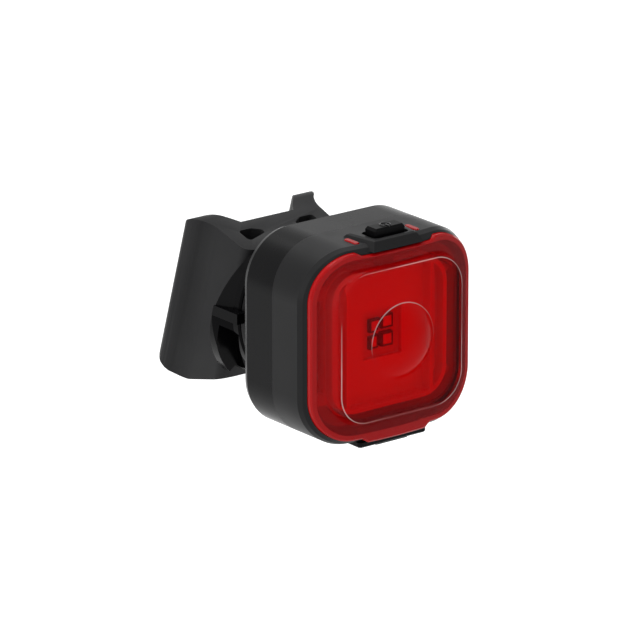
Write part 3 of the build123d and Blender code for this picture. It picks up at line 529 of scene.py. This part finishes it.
rim_reach = corner_reach(lens_width / 2, lens_half_height, lens_corner)
# Painted glow: the mask of the rim band, where the milky red takes over wholly.
on_painted_glow_band = add_node(lens_tree, "ShaderNodeMapRange", {
    "From Min": lens_corner - rim_band - band_fade, "From Max": lens_corner - rim_band,
}, {"Value": rim_reach})
on_flange = add_node(lens_tree, "ShaderNodeMapRange", {
    "From Min": lens_corner - flange_band, "From Max": lens_corner - flange_band + flange_fade,
    "To Min": milkiness, "To Max": flange_milkiness,
}, {"Value": rim_reach})
milk_and_glow = add_node(lens_tree, "ShaderNodeMath", {"operation": "MAXIMUM"},
                {0: on_painted_glow_band.outputs[0], 1: on_flange.outputs[0]})
lens_mix = add_node(lens_tree, "ShaderNodeMixShader", {}, {
    0: milk_and_glow.outputs[0], 1: lens_clear.outputs[0], 2: lens_milk_and_painted_glow.outputs[0],
})

# The plateau's edge and the dome's foot are rounded by a hair. A painted highlight lies on them: a thin pale
# line along the plateau's edge and along the dome's foot, fading out toward the dome's lower part and broken
# into patches by noise.
plateau_half = (17.0 * MM, 17.25 * MM)
plateau_corner = 7.5 * MM
plateau_rise = 3.8 * MM
line_inset = 0.2 * MM
dome_foot = 8.6 * MM
line_half = 0.14 * MM
line_patch = 14 * MM
line_faintest = 0.04
line_strongest = 0.62


def thin_line(distance, middle):
    """A mask that is 1 where the distance is middle and fades out within half a line."""
    off = add_node(lens_tree, "ShaderNodeMath", {"operation": "SUBTRACT", 1: middle}, {0: distance})
    gap = add_node(lens_tree, "ShaderNodeMath", {"operation": "ABSOLUTE"}, {0: off.outputs[0]})
    return add_node(lens_tree, "ShaderNodeMapRange", {
        "From Min": 0.0, "From Max": line_half, "To Min": 1.0, "To Max": 0.0,
    }, {"Value": gap.outputs[0]}).outputs[0]


flat_place = add_node(lens_tree, "ShaderNodeVectorMath", {"operation": "MULTIPLY", 1: (1, 0, 1)},
                      {0: lens_quarter})
dome_reach = add_node(lens_tree, "ShaderNodeVectorMath", {"operation": "LENGTH"},
                      {0: flat_place.outputs[0]})
place_axes = add_node(lens_tree, "ShaderNodeSeparateXYZ", {}, {0: lens_place})
dome_upper = add_node(lens_tree, "ShaderNodeMapRange", {
    "From Min": lens_z - dome_foot / 2, "From Max": lens_z + dome_foot, "To Min": 0.0, "To Max": 1.0,
}, {"Value": place_axes.outputs["Z"]})
dome_line = add_node(lens_tree, "ShaderNodeMath", {"operation": "MULTIPLY"}, {
    0: thin_line(dome_reach.outputs["Value"], dome_foot), 1: dome_upper.outputs[0],
})
lines = add_node(lens_tree, "ShaderNodeMath", {"operation": "MAXIMUM"}, {
    0: thin_line(corner_reach(*plateau_half, plateau_corner), plateau_corner - line_inset),
    1: dome_line.outputs[0],
})
on_top = add_node(lens_tree, "ShaderNodeMath", {"operation": "LESS_THAN", 1: rim_y - plateau_rise},
                  {0: place_axes.outputs["Y"]})
patchy = add_node(lens_tree, "ShaderNodeTexNoise", {"Scale": 1 / line_patch, "Detail": 0.0},
                  {"Vector": lens_place})
line_share = add_node(lens_tree, "ShaderNodeMapRange", {
    "From Min": 0.42, "From Max": 0.60, "To Min": line_faintest, "To Max": line_strongest,
}, {"Value": patchy.outputs["Fac"]})
top_lines = add_node(lens_tree, "ShaderNodeMath", {"operation": "MULTIPLY"},
                     {0: lines.outputs[0], 1: on_top.outputs[0]})
# Painted highlight: the share of the pale shader on the thin lines.
painted_glint_share = add_node(lens_tree, "ShaderNodeMath", {"operation": "MULTIPLY"},
                       {0: top_lines.outputs[0], 1: line_share.outputs[0]})
# Painted highlight: the pale shader that draws the thin lines.
painted_glint = add_node(lens_tree, "ShaderNodeBsdfPrincipled", {"Base Color": linear("FBD8D8"), "Roughness": 0.2})
lens_all = add_node(lens_tree, "ShaderNodeMixShader", {}, {
    0: painted_glint_share.outputs[0], 1: lens_mix.outputs[0], 2: painted_glint.outputs[0],
})
lens_tree.links.new(lens_all.outputs[0], lens_tree.nodes["Material Output"].inputs["Surface"])
dress("lens", lens_red)

# Status windows: two small bars of red polycarbonate with lamp posts down to their diodes.
# They are milky, so they stay red with the diodes out.
window_clearness = 0.3
window_red = finished("polycarbonate_red_milky", "B8080E", roughness=0.14, spread=0.03,
                      grain_mm=1.0, depth_mm=0.002, specular=0.05)
window_red.node_tree.nodes["Principled BSDF"].inputs["Transmission Weight"].default_value = window_clearness
for bar in ("status_window_left", "status_window_right"):
    dress(bar, window_red)
